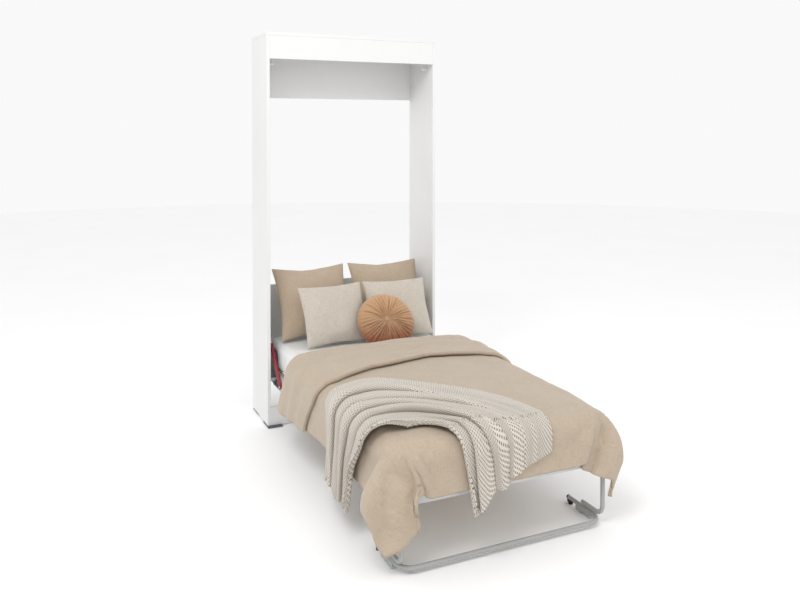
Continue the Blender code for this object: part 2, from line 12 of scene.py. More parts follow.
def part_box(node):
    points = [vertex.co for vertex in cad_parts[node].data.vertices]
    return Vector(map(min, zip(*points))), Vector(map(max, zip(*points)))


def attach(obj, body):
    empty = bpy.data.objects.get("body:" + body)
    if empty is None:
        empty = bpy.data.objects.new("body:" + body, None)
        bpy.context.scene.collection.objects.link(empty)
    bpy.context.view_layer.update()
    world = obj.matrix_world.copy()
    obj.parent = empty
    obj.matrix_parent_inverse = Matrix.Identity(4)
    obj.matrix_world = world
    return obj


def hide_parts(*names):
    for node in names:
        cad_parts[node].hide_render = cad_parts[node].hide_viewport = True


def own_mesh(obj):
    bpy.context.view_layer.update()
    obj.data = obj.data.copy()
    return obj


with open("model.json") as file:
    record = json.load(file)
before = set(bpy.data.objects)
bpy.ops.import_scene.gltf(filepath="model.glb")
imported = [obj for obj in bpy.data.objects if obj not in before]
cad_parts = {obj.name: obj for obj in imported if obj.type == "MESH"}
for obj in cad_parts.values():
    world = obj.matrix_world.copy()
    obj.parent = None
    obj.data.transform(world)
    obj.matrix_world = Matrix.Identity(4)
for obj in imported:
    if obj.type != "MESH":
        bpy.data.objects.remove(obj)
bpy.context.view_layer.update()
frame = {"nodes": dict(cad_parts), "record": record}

# ---------------------------------------------------------------- driving places, read from the frame
MATTRESS_LOW, MATTRESS_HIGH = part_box("mattress")
DUVET_LOW, DUVET_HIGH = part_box("duvet")
BED_TOP = MATTRESS_HIGH.z
BED_FOOT = MATTRESS_LOW.y
NODES = frame["nodes"]

WEAVE = 0.0017            # thread spacing of the linens
STITCH = 0.0130           # spacing of the knit's stitches
KNIT_ANGLE = 32           # how far each set of stitches leans, in degrees
REST_GAP = 0.001          # pillows and cushion rest this far above the mattress


# ---------------------------------------------------------------- node materials
class Look:
    """A Principled material and short calls for the nodes that shape it."""

    def __init__(self, name, colour, roughness, metallic=0.0, **fixed):
        self.material = bpy.data.materials.new(name)
        self.material.use_nodes = True
        self.nodes = self.material.node_tree.nodes
        self.links = self.material.node_tree.links
        self.shader = self.nodes["Principled BSDF"]
        self.set("Base Color", (*colour, 1.0))
        self.set("Roughness", roughness)
        self.set("Metallic", metallic)
        for socket, value in fixed.items():
            self.set(socket.replace("_", " "), value)
        self.place = self.nodes.new("ShaderNodeTexCoord")

    def set(self, socket, value):
        self.shader.inputs[socket].default_value = value

    def add(self, kind, inputs=None, **settings):
        """A new node with its settings, and its inputs given as values or as other nodes' outputs."""
        node = self.nodes.new(kind)
        for name, value in settings.items():
            setattr(node, name, value)
        for name, value in (inputs or {}).items():
            if isinstance(value, bpy.types.NodeSocket):
                self.links.new(value, node.inputs[name])
            else:
                node.inputs[name].default_value = value
        return node

    def feed(self, socket, output):
        self.links.new(output, self.shader.inputs[socket])

    def where(self, space="Object", scale=(1, 1, 1), turn=(0, 0, 0)):
        """Object or UV coordinates, stretched and turned."""
        node = self.add("ShaderNodeMapping", {"Scale": scale, "Rotation": turn})
        self.links.new(self.place.outputs[space], node.inputs["Vector"])
        return node.outputs["Vector"]

    def noise(self, vector, scale, detail=3.0, roughness=0.55):
        node = self.add("ShaderNodeTexNoise", {
            "Vector": vector, "Scale": scale, "Detail": detail, "Roughness": roughness,
        })
        return node.outputs["Fac"]

    def bands(self, vector, period, direction, wobble=0.0, profile="SIN"):
        """Stripes across one direction, one stripe to each period in metres."""
        node = self.add("ShaderNodeTexWave", {
            "Vector": vector, "Scale": 2 * math.pi / (20 * period), "Distortion": wobble,
            "Detail": 2.0, "Detail Scale": 1.5,
        }, bands_direction=direction, wave_profile=profile)
        return node.outputs["Fac"]

    def maths(self, operation, first, second=0.5):
        node = self.add("ShaderNodeMath", operation=operation)
        for index, value in enumerate((first, second)):
            if isinstance(value, bpy.types.NodeSocket):
                self.links.new(value, node.inputs[index])
            else:
                node.inputs[index].default_value = value
        return node.outputs[0]

    def spread(self, value, low, high):
        """A 0 to 1 value spread from low to high."""
        node = self.add("ShaderNodeMapRange", {"Value": value, "To Min": low, "To Max": high})
        return node.outputs["Result"]

    def ramp(self, value, stops):
        """A colour ramp with (place, colour) stops."""
        node = self.add("ShaderNodeValToRGB", {"Fac": value})
        elements = node.color_ramp.elements
        while len(elements) < len(stops):
            elements.new(0.5)
        for element, (place, colour) in zip(elements, stops):
            element.position = place
            element.color = (*colour, 1.0)
        return node.outputs["Color"]

    def tint(self, base, layer, amount, mode="MULTIPLY"):
        """One colour laid over another by an amount."""
        node = self.add("ShaderNodeMix", data_type="RGBA", blend_type=mode)
        for index, value in ((0, amount), (6, base), (7, layer)):
            if isinstance(value, bpy.types.NodeSocket):
                self.links.new(value, node.inputs[index])
            elif index:
                node.inputs[index].default_value = (*value, 1.0)
            else:
                node.inputs[index].default_value = value
        return node.outputs[2]

    def relief(self, height, strength, distance, under=None):
        """A bump from a height, laid over another bump."""
        node = self.add("ShaderNodeBump", {"Height": height, "Strength": strength, "Distance": distance})
        if under:
            self.links.new(under, node.inputs["Normal"])
        return node.outputs["Normal"]


def shade(colour, factor):
    return tuple(min(1.0, channel * factor) for channel in colour)


def painted(name, colour, roughness, metallic=0.0, grain=0.00012, **fixed):
    """Powder coat or paint: orange peel, faint clouding and a worn gloss."""
    look = Look(name, colour, roughness, metallic, **fixed)
    fine = look.noise(look.where(), 900, 2)
    broad = look.noise(look.where(), 14, 4)
    tone = look.ramp(broad, [(0.3, shade(colour, 0.93)), (0.7, shade(colour, 1.04))])
    look.feed("Base Color", look.tint(tone, look.ramp(fine, [(0.3, (0.9,) * 3), (0.6, (1.0,) * 3)]), 0.5))
    look.feed("Roughness", look.spread(broad, roughness - 0.06, roughness + 0.08))
    look.feed("Normal", look.relief(fine, 0.35, grain))
    return look.material


def laminate(name, colour):
    """White melamine board: a satin face with a faint pore and an uneven sheen."""
    look = Look(name, colour, 0.42, IOR=1.48)
    pores = look.noise(look.where(scale=(1, 1, 0.35)), 1300, 2)
    cloud = look.noise(look.where(), 2.3, 3)
    tone = look.ramp(cloud, [(0.25, shade(colour, 0.965)), (0.75, shade(colour, 1.015))])
    specks = look.ramp(pores, [(0.3, (0.94,) * 3), (0.55, (1.0,) * 3)])
    look.feed("Base Color", look.tint(tone, specks, 0.6))
    look.feed("Roughness", look.spread(look.noise(look.where(), 9, 5), 0.34, 0.5))
    look.feed("Normal", look.relief(pores, 0.18, 0.00015))
    return look.material


def brushed(name, colour, roughness, lines=(1, 1, 40)):
    """Bare or plated metal with drawn lines and a few darker blooms."""
    look = Look(name, colour, roughness, 1.0)
    streaks = look.noise(look.where(scale=lines), 180, 4)
    bloom = look.noise(look.where(), 22, 4)
    look.feed("Base Color", look.ramp(bloom, [(0.25, shade(colour, 0.8)), (0.7, shade(colour, 1.03))]))
    look.feed("Roughness", look.spread(streaks, roughness * 0.6, roughness * 1.5))
    look.feed("Normal", look.relief(streaks, 0.2, 0.0001))
    return look.material


def moulded(name, colour, roughness, spark=700):
    """Moulded plastic or rubber with a fine eroded texture."""
    look = Look(name, colour, roughness)
    grit = look.noise(look.where(), spark, 3, 0.7)
    cloud = look.noise(look.where(), 30, 3)
    look.feed("Base Color", look.ramp(cloud, [(0.3, shade(colour, 0.88)), (0.7, shade(colour, 1.08))]))
    look.feed("Roughness", look.spread(grit, roughness - 0.1, roughness + 0.1))
    look.feed("Normal", look.relief(grit, 0.4, 0.0002))
    return look.material


def plywood(name, colour):
    """Lacquered birch: long grain across the bed and darker glue lines through the thickness."""
    look = Look(name, colour, 0.38, Coat_Weight=0.25, Coat_Roughness=0.2)
    grain = look.noise(look.where(scale=(1, 14, 14)), 9, 6, 0.65)
    figure = look.bands(look.where(scale=(0.3, 1, 1)), 0.022, "Y", 6.0)
    plies = look.bands(look.where(), 0.0024, "Z")
    wood = look.ramp(grain, [(0.3, shade(colour, 0.78)), (0.5, colour), (0.72, shade(colour, 1.16))])
    wood = look.tint(wood, look.ramp(figure, [(0.0, (0.86, 0.82, 0.76)), (0.6, (1, 1, 1))]), 0.35)
    glue = look.ramp(plies, [(0.05, (0.7, 0.6, 0.5)), (0.3, (1, 1, 1))])
    look.feed("Base Color", look.tint(wood, glue, 0.3))
    look.feed("Normal", look.relief(grain, 0.25, 0.0003))
    return look.material


def woven(name, colour, slub=0.5, weave=WEAVE, sheen=0.25, crease=0.3, space="UV"):
    """Linen or cotton: crossing threads, thick slubs along both ways, and soft rumpled shading."""
    look = Look(name, colour, 0.86, Sheen_Weight=sheen, Sheen_Roughness=0.5, Specular_IOR_Level=0.25)
    cloth = look.where(space)
    warp = look.bands(cloth, weave, "X", 0.6)
    weft = look.bands(cloth, weave, "Y", 0.6)
    threads = look.maths("MAXIMUM", warp, weft)
    along = look.noise(look.where(space, scale=(22, 420, 1)), 1.0, 3, 0.7)
    across = look.noise(look.where(space, scale=(420, 22, 1)), 1.0, 3, 0.7)
    slubs = look.maths("MULTIPLY", look.maths("ADD", along, across), 0.5)
    worn = look.noise(look.where(space), 7, 4)
    tone = look.ramp(slubs, [
        (0.36, shade(colour, 1 - 0.42 * slub)), (0.5, colour), (0.64, shade(colour, 1 + 0.24 * slub)),
    ])
    tone = look.tint(tone, look.ramp(threads, [(0.2, (0.72,) * 3), (0.9, (1.0,) * 3)]), 0.35)
    tone = look.tint(tone, look.ramp(worn, [(0.3, (0.92, 0.91, 0.89)), (0.7, (1.0,) * 3)]), 0.7)
    look.feed("Base Color", tone)
    look.feed("Roughness", look.spread(slubs, 0.78, 0.95))
    rumple = look.relief(look.noise(look.where(space), 26, 4), crease, 0.004)
    rough = look.relief(slubs, 0.5, 0.0012, rumple)
    look.feed("Normal", look.relief(threads, 0.5, weave * 0.35, rough))
    return look.material


def knitted(name, colour, gap_shade):
    """Chunky knit: rows of stitches with painted shade in the gaps between them, and fluffy yarn."""
    look = Look(name, colour, 0.92, Sheen_Weight=0.35, Sheen_Roughness=0.6, Specular_IOR_Level=0.15)
    cloth = look.where("UV")
    period = STITCH * 0.74
    first = look.bands(look.where("UV", turn=(0, 0, math.radians(KNIT_ANGLE))), period, "X", 0.4)
    second = look.bands(look.where("UV", turn=(0, 0, math.radians(-KNIT_ANGLE))), period, "X", 0.4)
    stitches = look.maths("MAXIMUM", first, second)
    patch = look.noise(cloth, 90, 2)
    gaps = look.maths("ADD", stitches, look.spread(patch, -0.12, 0.14))
    # The darkest colour, in the gaps between the stitches, is painted shade.
    tone = look.ramp(gaps, [(0.25, gap_shade), (0.60, shade(colour, 0.92)), (0.85, colour)])
    fuzz = look.noise(cloth, 1500, 3, 0.7)
    tone = look.tint(tone, look.ramp(fuzz, [(0.3, (0.8,) * 3), (0.62, (1.0,) * 3)]), 0.5)
    look.feed("Base Color", tone)
    coarse = look.relief(stitches, 0.8, STITCH * 0.3)
    look.feed("Normal", look.relief(fuzz, 0.5, 0.0008, coarse))
    return look.material


def velvet(name, high, low, centre, half):
    """Pleated rust velvet with painted light by height: a painted caramel highlight toward the top of the
    cushion, darkening to deep rust, painted shade, at its foot.
    """
    look = Look(name, high, 0.7, Sheen_Weight=0.6, Sheen_Roughness=0.35)
    split = look.add("ShaderNodeSeparateXYZ")
    look.links.new(look.place.outputs["Object"], split.inputs["Vector"])
    # Height on the cushion sets the painted light: lighter toward the top as a painted highlight, darker
    # toward the foot as painted shade.
    painted_light_height = look.add("ShaderNodeMapRange", {
        "Value": split.outputs["Z"], "From Min": centre - half, "From Max": centre + half,
    }).outputs["Result"]
    nap = look.noise(look.where(), 60, 4)
    painted_light_height = look.maths("ADD", painted_light_height, look.spread(nap, -0.12, 0.12))
    tone = look.ramp(painted_light_height, [(0.08, low), (0.42, shade(high, 0.82)), (0.85, high)])
    pile = look.noise(look.where(), 2200, 2)
    look.feed("Base Color", look.tint(tone, look.ramp(pile, [(0.3, (0.82,) * 3), (0.6, (1.0,) * 3)]), 0.6))
    look.feed("Roughness", look.spread(nap, 0.55, 0.8))
    look.feed("Normal", look.relief(pile, 0.4, 0.0006))
    return look.material


def slot_colour(slot):
    """The record's own base colour for a material slot."""
    return tuple(next(m["base_color"] for m in frame["record"]["materials"] if m["slot"] == slot)[:3])


CAD_LOOKS = {
    "white_laminate": laminate("laminate", (0.775, 0.775, 0.77)),
    "foot_plate": moulded("foot_plate_plastic", slot_colour("foot_plate"), 0.6),
    "white_plastic": moulded("white_plastic", slot_colour("white_plastic"), 0.4, 1200),
    "black_steel": painted("black_powder_coat", slot_colour("black_steel"), 0.45),
    "zinc_steel": brushed("zinc_plate", slot_colour("zinc_steel"), 0.3),
    "frame_paint": painted("frame_powder_coat", slot_colour("frame_paint"), 0.4),
    "birch_ply": plywood("birch_ply", slot_colour("birch_ply")),
    "grey_paint": painted("grey_powder_coat", (0.40, 0.405, 0.395), 0.38, 0.25),
    "grey_plastic": moulded("grey_plastic", slot_colour("grey_plastic"), 0.5),
    "black_rubber": moulded("black_rubber", (0.012, 0.012, 0.012), 0.7, 400),
    "red_paint": painted(
        "red_gloss_paint", slot_colour("red_paint"), 0.22, Coat_Weight=0.5, Coat_Roughness=0.1
    ),
    "bright_chrome": brushed("polished_chrome", slot_colour("bright_chrome"), 0.08),
}
# A node takes the slot of the first row that has the beginning of its name; the rest are boards.
NODE_SLOTS = [
    (("front_foot", "rear_foot"), "foot_plate"),
    (("stop_peg",), "white_plastic"),
    (("pivot_plate", "spring_bracket"), "black_steel"),
    (("pivot_pin", "leg_pin"), "zinc_steel"),
    (("arm_plate",), "black_steel"),
    (("foot_rail", "head_rail", "side_rail", "rail_bracket", "leg_bracket"), "frame_paint"),
    (("slat_",), "birch_ply"),
    (("leg_base", "leg_upright"), "grey_paint"),
    (("leg_glide",), "grey_plastic"),
    (("leg_pad",), "black_rubber"),
    (("gas_cylinder",), "red_paint"),
    (("gas_rod",), "bright_chrome"),
    (("",), "white_laminate"),
]


def finish_cad_nodes():
    for name, node in NODES.items():
        slot = next(slot for starts, slot in NODE_SLOTS if name.startswith(starts))
        node.data.materials.clear()
        node.data.materials.append(CAD_LOOKS[slot])


# ---------------------------------------------------------------- mesh helpers
def sheet_mesh(name, points, spread_out, wrap=False):
    """A mesh from a grid of points (rows, columns, 3), with the flat cloth's metres as its UV map."""
    rows, columns = points.shape[:2]
    index = np.arange(rows * columns).reshape(rows, columns)
    if wrap:
        index = np.concatenate([index, index[:, :1]], axis=1)
    quads = np.stack([index[:-1, :-1], index[1:, :-1], index[1:, 1:], index[:-1, 1:]], -1).reshape(-1, 4)
    mesh = bpy.data.meshes.new(name)
    mesh.from_pydata(points.reshape(-1, 3).tolist(), [], quads.tolist())
    flat = mesh.uv_layers.new(name="UVMap")
    corners = np.empty(len(mesh.loops), np.int32)
    mesh.loops.foreach_get("vertex_index", corners)
    flat.data.foreach_set("uv", spread_out.reshape(-1, 2)[corners].astype(np.float32).ravel())
    mesh.update()
    return mesh


def add_piece(name, mesh, material):
    piece = bpy.data.objects.new(name, mesh)
    bpy.context.scene.collection.objects.link(piece)
    if material:
        mesh.materials.append(material)
    mesh.shade_smooth()
    return piece


def add_form(name, form, material=None):
    """A piece made from a finished bmesh."""
    mesh = bpy.data.meshes.new(name)
    form.to_mesh(mesh)
    form.free()
    return add_piece(name, mesh, material)


def apply_all(piece):
    """Turns the piece's modifiers into its own mesh."""
    bpy.context.view_layer.update()
    graph = bpy.context.evaluated_depsgraph_get()
    mesh = bpy.data.meshes.new_from_object(piece.evaluated_get(graph), depsgraph=graph)
    piece.modifiers.clear()
    old = piece.data
    piece.data = mesh
    bpy.data.meshes.remove(old)
    return piece


def vertex_values(piece, kind):
    found = np.empty(len(piece.data.vertices) * 3, np.float32)
    piece.data.vertices.foreach_get(kind, found)
    return found.reshape(-1, 3).astype(float)


def points_of(piece):
    return vertex_values(piece, "co")


def set_points(piece, points):
    piece.data.vertices.foreach_set("co", points.astype(np.float32).ravel())
    piece.data.update()


def normals_of(piece):
    return vertex_values(piece, "normal")


def ripple(points, size, seed=0.0):
    """Smooth noise from -1 to 1 at each point, with features of about the given size."""
    shift = Vector((seed, 1.7 * seed, 2.3 * seed))
    return np.array([noise.noise(Vector(p) / size + shift) for p in points])


def grid_ripple(flat, size, seed):
    """Smooth noise at each place of a grid of flat coordinates."""
    places = np.concatenate([flat, 0 * flat[..., :1]], -1)
    return ripple(places.reshape(-1, 3), size, seed).reshape(flat.shape[:2])


def cubic(before, first, second, after, share):
    """A smooth line from the first value to the second, steered by the values around them."""
    return 0.5 * (
        2 * first + (second - before) * share
        + (2 * before - 5 * first + 4 * second - after) * share ** 2
        + (3 * first - before - 3 * second + after) * share ** 3
    )


def grid_normals(points):
    """The upward or outward normal at each place of a grid of points."""
    down = np.gradient(points, axis=0)
    along = np.gradient(points, axis=1)
    normal = np.cross(down, along)
    return normal / np.maximum(np.linalg.norm(normal, axis=2, keepdims=True), 1e-9)


def simulate(piece, frames, **settings):
    """Runs Blender's cloth on the piece for some frames and keeps its last shape."""
    cloth = piece.modifiers.new("cloth", "CLOTH")
    contact = cloth.collision_settings
    contact.use_collision = settings.pop("touching", False)
    contact.distance_min = 0.004
    cloth.settings.effector_weights.gravity = settings.pop("gravity", 0.0)
    for name, value in settings.items():
        setattr(cloth.settings, name, value)
    cloth.point_cache.frame_start = 1
    cloth.point_cache.frame_end = frames
    scene = bpy.context.scene
    for step in range(1, frames + 1):
        scene.frame_set(step)
    apply_all(piece)
    scene.frame_set(1)
    return piece


# ---------------------------------------------------------------- mattress
MATTRESS_EDGE = 0.042
MATTRESS_VOXEL = 0.014


def make_mattress():
    """The mattress in its fitted sheet: a slab with soft edges, and faint pulls down its sides."""
    low, high = MATTRESS_LOW, MATTRESS_HIGH
    form = bmesh.new()
    bmesh.ops.create_cube(form, size=1.0, matrix=Matrix.LocRotScale((low + high) / 2, None, high - low))
    bmesh.ops.bevel(form, geom=form.edges[:], offset=MATTRESS_EDGE, segments=4, profile=0.55, affect="EDGES")
    piece = add_form("mattress_cover", form)
    remesh = piece.modifiers.new("even", "REMESH")
    remesh.mode = "VOXEL"
    remesh.voxel_size = MATTRESS_VOXEL
    apply_all(piece)
    points = points_of(piece)
    normals = normals_of(piece)
    sideways = 1 - np.abs(normals[:, 2])
    pulls = ripple(points * (1, 0.35, 2.2), 0.05, 4.0) * 0.0012 * sideways
    rumples = ripple(points, 0.16, 7.0) * 0.0018
    points += normals * (pulls + rumples - 0.0015)[:, None]
    set_points(piece, points)
    cotton = woven(
        "cotton_sheet", (0.80, 0.81, 0.80), slub=0.12, weave=0.0009, sheen=0.1, crease=0.22, space="Object"
    )
    piece.data.materials.append(cotton)
    piece.data.shade_smooth()
    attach(piece, "bed")
    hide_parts("mattress")
    return piece


# ---------------------------------------------------------------- pillows
EURO_SIZE = (0.462, 0.440, 0.130)
SMALL_SIZE = (0.398, 0.352, 0.118)
PILLOW_LEAN = 27             # degrees back from upright
PILLOW_CELLS = 34            # squares across a pillow's face
PILLOW_SLACK = 0.45          # how much of its thickness a case has before it is blown up
PILLOW_CRUMPLE = 0.35        # how much of the simulated shape is kept
PILLOW_CLOTH = {
    "quality": 6, "mass": 0.25, "tension_stiffness": 22, "compression_stiffness": 18,
    "shear_stiffness": 8, "bending_stiffness": 1.2, "use_pressure": True, "uniform_pressure_force": 3.0,
}


def stuffed_face(size, seed, pinch):
    """One face of a stuffed pillow as a grid: thin at its seams, which draw in between the corners."""
    width, height, depth = size
    rows = round(PILLOW_CELLS * height / width)
    u = np.linspace(-1, 1, PILLOW_CELLS + 1)
    v = np.linspace(-1, 1, rows + 1)
    grid_u, grid_v = np.meshgrid(u, v)
    lens = ((1 - np.abs(grid_u) ** 2.6) * (1 - np.abs(grid_v) ** 2.6)) ** 0.62
    dents = 0.05 * np.sin(3.1 * grid_u + seed) * np.cos(2.3 * grid_v - seed)
    thickness = depth / 2 * lens * (1 + dents)
    pinched_u = grid_u * (1 - pinch * (1 - grid_v ** 2) * grid_u ** 2)
    pinched_v = grid_v * (1 - pinch * (1 - grid_u ** 2) * grid_v ** 2)
    return np.stack([pinched_u * width / 2, pinched_v * height / 2, thickness], -1)


def sewn_case(name, front, back_offset):
    """A front face and its mirror image joined along the rim, the back's UV map beside the front's."""
    rows, columns = front.shape[0] - 1, front.shape[1] - 1
    form = bmesh.new()
    flat = form.loops.layers.uv.new("UVMap")
    corners = {}

    def on_rim(row, column):
        return row in (0, rows) or column in (0, columns)

    for side, layer in enumerate((front, front * (1, 1, -1))):
        for row in range(rows + 1):
            for column in range(columns + 1):
                key = (0 if on_rim(row, column) else side, row, column)
                if key not in corners:
                    corners[key] = form.verts.new(layer[row, column])
        for row in range(rows):
            for column in range(columns):
                ring = [(row, column), (row, column + 1), (row + 1, column + 1), (row + 1, column)]
                ring = ring[::-1] if side else ring
                face = form.faces.new([corners[(0 if on_rim(*spot) else side, *spot)] for spot in ring])
                for loop, spot in zip(face.loops, ring):
                    loop[flat].uv = (front[spot][0] + side * back_offset, front[spot][1])
    return add_form(name, form)


def pillow_shape(name, size, seed, pinch):
    """A sewn case blown up by cloth simulation, lying in XY with its thickness along Z, at its true size."""
    width, height, _ = size
    piece = sewn_case(name, stuffed_face(size, seed, pinch), 1.3 * width)
    stuffed = points_of(piece)
    set_points(piece, stuffed * (1, 1, PILLOW_SLACK))
    simulate(piece, frames=24, **PILLOW_CLOTH)
    blown = points_of(piece)
    middle = (blown.max(0) + blown.min(0)) / 2
    blown = (blown - middle) * (np.array(size) / (blown.max(0) - blown.min(0)))
    toward_seam = np.maximum(np.abs(stuffed[:, 0]) * 2 / width, np.abs(stuffed[:, 1]) * 2 / height)
    share = PILLOW_CRUMPLE * np.clip(1 - toward_seam ** 5, 0, 1)[:, None]
    set_points(piece, stuffed + share * (blown - stuffed))
    finer = piece.modifiers.new("finer", "SUBSURF")
    finer.levels = finer.render_levels = 1
    return apply_all(piece)


def settle_on(piece, floor_z, softness=0.012):
    """Rests a placed piece on a level: what would sink below is pressed up, and bulges a little."""
    points = points_of(piece)
    sunk = np.maximum(floor_z + softness - points[:, 2], 0)
    points[:, 2] += sunk - softness * (1 - np.exp(-sunk / softness))
    set_points(piece, points)


def fold_flat(piece):
    """Gives a piece of loose bedding its own copy of its mesh."""
    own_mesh(piece)


def make_pillow(name, node, size, turn, seed, pinch, shift):
    """A square pillow propped on its edge: the case's face looks at the foot end and leans back."""
    piece = pillow_shape(name, size, seed, pinch)
    points = points_of(piece)
    centre_u, centre_v = points[:, 0] / size[0], points[:, 1] / size[1]
    edge = np.clip(1 - 2 * np.maximum(np.abs(centre_u), np.abs(centre_v)), 0, 1)
    folds = ripple(points * (1.0, 0.45, 1.0), 0.028, seed) * 0.0022 * (0.25 + 0.75 * (centre_v < 0.1))
    sag = ripple(points, 0.13, seed + 5) * 0.006
    set_points(piece, points + normals_of(piece) * ((folds + sag) * np.sqrt(edge))[:, None])
    low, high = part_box(node)
    upright = Matrix.Rotation(math.radians(90 - PILLOW_LEAN), 4, "X")
    place = Matrix.Rotation(math.radians(turn), 4, "Z") @ upright
    piece.data.transform(Matrix.Translation((low + high) / 2 + Vector(shift)) @ place)
    settle_on(piece, BED_TOP + REST_GAP)
    piece.data.shade_smooth()
    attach(piece, "bed")
    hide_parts(node)
    return piece


def make_pillows():
    """Two large tan pillows against the cabinet's back, and two smaller pale ones in front of them."""
    tan = woven("tan_linen_case", (0.49, 0.39, 0.29), 0.35)
    pale = woven("oatmeal_linen_case", (0.59, 0.535, 0.465), 0.5)
    for label, turn, seed in (("left", 2, 1.0), ("right", -2, 2.0)):
        name, node = f"euro_cushion_{label}", f"euro_pillow_{label}"
        piece = make_pillow(name, node, EURO_SIZE, turn, seed, pinch=0.085, shift=(0, 0, 0))
        piece.data.materials.append(tan)
        fold_flat(piece)
    for label, turn, seed in (("left", 4, 3.0), ("right", -3, 4.0)):
        name, node = f"linen_cushion_{label}", f"linen_pillow_{label}"
        piece = make_pillow(name, node, SMALL_SIZE, turn, seed, pinch=0.055, shift=(0, -0.012, -0.004))
        piece.data.materials.append(pale)
        fold_flat(piece)


# ---------------------------------------------------------------- round cushion
CUSHION_RADIUS = 0.161
CUSHION_DEPTH = 0.105
CUSHION_PLEATS = 40
CUSHION_TILT = 54            # degrees from lying flat
CUSHION_TURN = -8
CUSHION_SHIFT = Vector((-0.012, -0.008, -0.030))
PIPE_RADIUS = 0.0034
BUTTON_RADIUS = 0.0145


def pleated_faces(angle, rings=40):
    """Both faces of the cushion as rings of points, from the front button over the rim to the back one."""
    half = CUSHION_DEPTH / 2
    wander = 0.35 * np.sin(3 * angle + 0.6) + 0.25 * np.sin(5 * angle + 2.0)
    steps = np.linspace(0, 1, rings)
    profile = []
    for side in (1, -1):
        for share in steps[::side]:
            reach = 0.10 + 0.90 * share
            dome = math.sqrt(max(0.0, 1 - reach ** 2.6))
            dip = 0.55 * math.exp(-(reach / 0.24) ** 2)
            twist = 0.9 * np.sin(4 * angle + 5.0 * reach) + 0.6 * np.sin(9 * angle - 3.0 * reach)
            uneven = 0.65 + 0.35 * np.sin(13 * angle + 2.0 * np.sin(5 * angle) + 4.0 * reach)
            fold = 0.115 * min(1.0, (reach / 0.38) ** 1.6) * (1 - reach ** 9) * uneven + 0.003
            crest = np.abs(np.cos((CUSHION_PLEATS * angle + wander + twist) / 2)) ** 0.55
            swell = half * (dome * (1 - dip) + 0.05)
            height = side * (swell - fold * CUSHION_RADIUS * (1 - crest))
            out = CUSHION_RADIUS * reach * (1 + 0.004 * np.sin(7 * angle))
            profile.append(np.stack([out * np.cos(angle), out * np.sin(angle), height], -1))
    return np.array(profile)


def make_cushion_cover(angle, material):
    points = pleated_faces(angle)
    lengths = np.linspace(0, 2 * CUSHION_RADIUS, len(points))
    spread_out = np.stack(np.meshgrid(angle * CUSHION_RADIUS, lengths), -1)
    mesh = sheet_mesh("pleated_cushion", points, spread_out, wrap=True)
    cover = bmesh.new()
    cover.from_mesh(mesh)
    bmesh.ops.holes_fill(cover, edges=[e for e in cover.edges if e.is_boundary], sides=0)
    bmesh.ops.recalc_face_normals(cover, faces=cover.faces[:])
    cover.to_mesh(mesh)
    cover.free()
    return add_piece("pleated_cushion", mesh, material)


def make_cushion_piping(angle, material, sides=10):
    """A thin cord round the rim."""
    cord = bmesh.new()
    up = Vector((0, 0, 1))
    loops = []
    for around in angle[::4]:
        outward = Vector((math.cos(around), math.sin(around), 0))
        ring = []
        for turn in np.linspace(0, 2 * math.pi, sides, endpoint=False):
            across = outward * math.cos(turn) + up * math.sin(turn)
            ring.append(cord.verts.new(CUSHION_RADIUS * outward + PIPE_RADIUS * across))
        loops.append(ring)
    for first, second in zip(loops, loops[1:] + loops[:1]):
        for k in range(sides):
            after = (k + 1) % sides
            cord.faces.new([first[k], second[k], second[after], first[after]])
    bmesh.ops.recalc_face_normals(cord, faces=cord.faces[:])
    return add_form("cushion_piping", cord, material)


def make_cushion_button(label, side, material):
    button = bmesh.new()
    bmesh.ops.create_uvsphere(button, u_segments=32, v_segments=16, radius=BUTTON_RADIUS)
    bmesh.ops.scale(button, vec=(1, 1, 0.5), verts=button.verts[:])
    bmesh.ops.translate(button, vec=(0, 0, side * CUSHION_DEPTH / 2 * 0.56), verts=button.verts[:])
    return add_form(f"cushion_button_{label}", button, material)


def make_round_cushion():
    """A round pleated cushion: both faces gathered to a covered button, with a piped rim."""
    low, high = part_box("round_cushion")
    centre = (low + high) / 2
    # The first velvet colour is a painted highlight at the top of the cushion, the second painted shade at
    # its foot.
    material = velvet(
        "pleated_velvet", (0.54, 0.32, 0.17), (0.27, 0.08, 0.028), centre.z, CUSHION_RADIUS * 0.8
    )
    angle = np.linspace(0, 2 * math.pi, CUSHION_PLEATS * 8, endpoint=False)
    cover = make_cushion_cover(angle, material)
    pieces = [cover, make_cushion_piping(angle, material)]
    pieces.append(make_cushion_button("front", 1, material))
    pieces.append(make_cushion_button("back", -1, material))
    turn = Matrix.Rotation(math.radians(CUSHION_TURN), 4, "Z")
    tilt = Matrix.Rotation(math.radians(CUSHION_TILT), 4, "X")
    place = Matrix.Translation(centre + CUSHION_SHIFT) @ turn @ tilt
    for item in pieces:
        item.data.transform(place)
        settle_on(item, BED_TOP + REST_GAP)
        item.data.shade_smooth()
        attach(item, "bed")
        fold_flat(item)
    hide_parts("round_cushion")


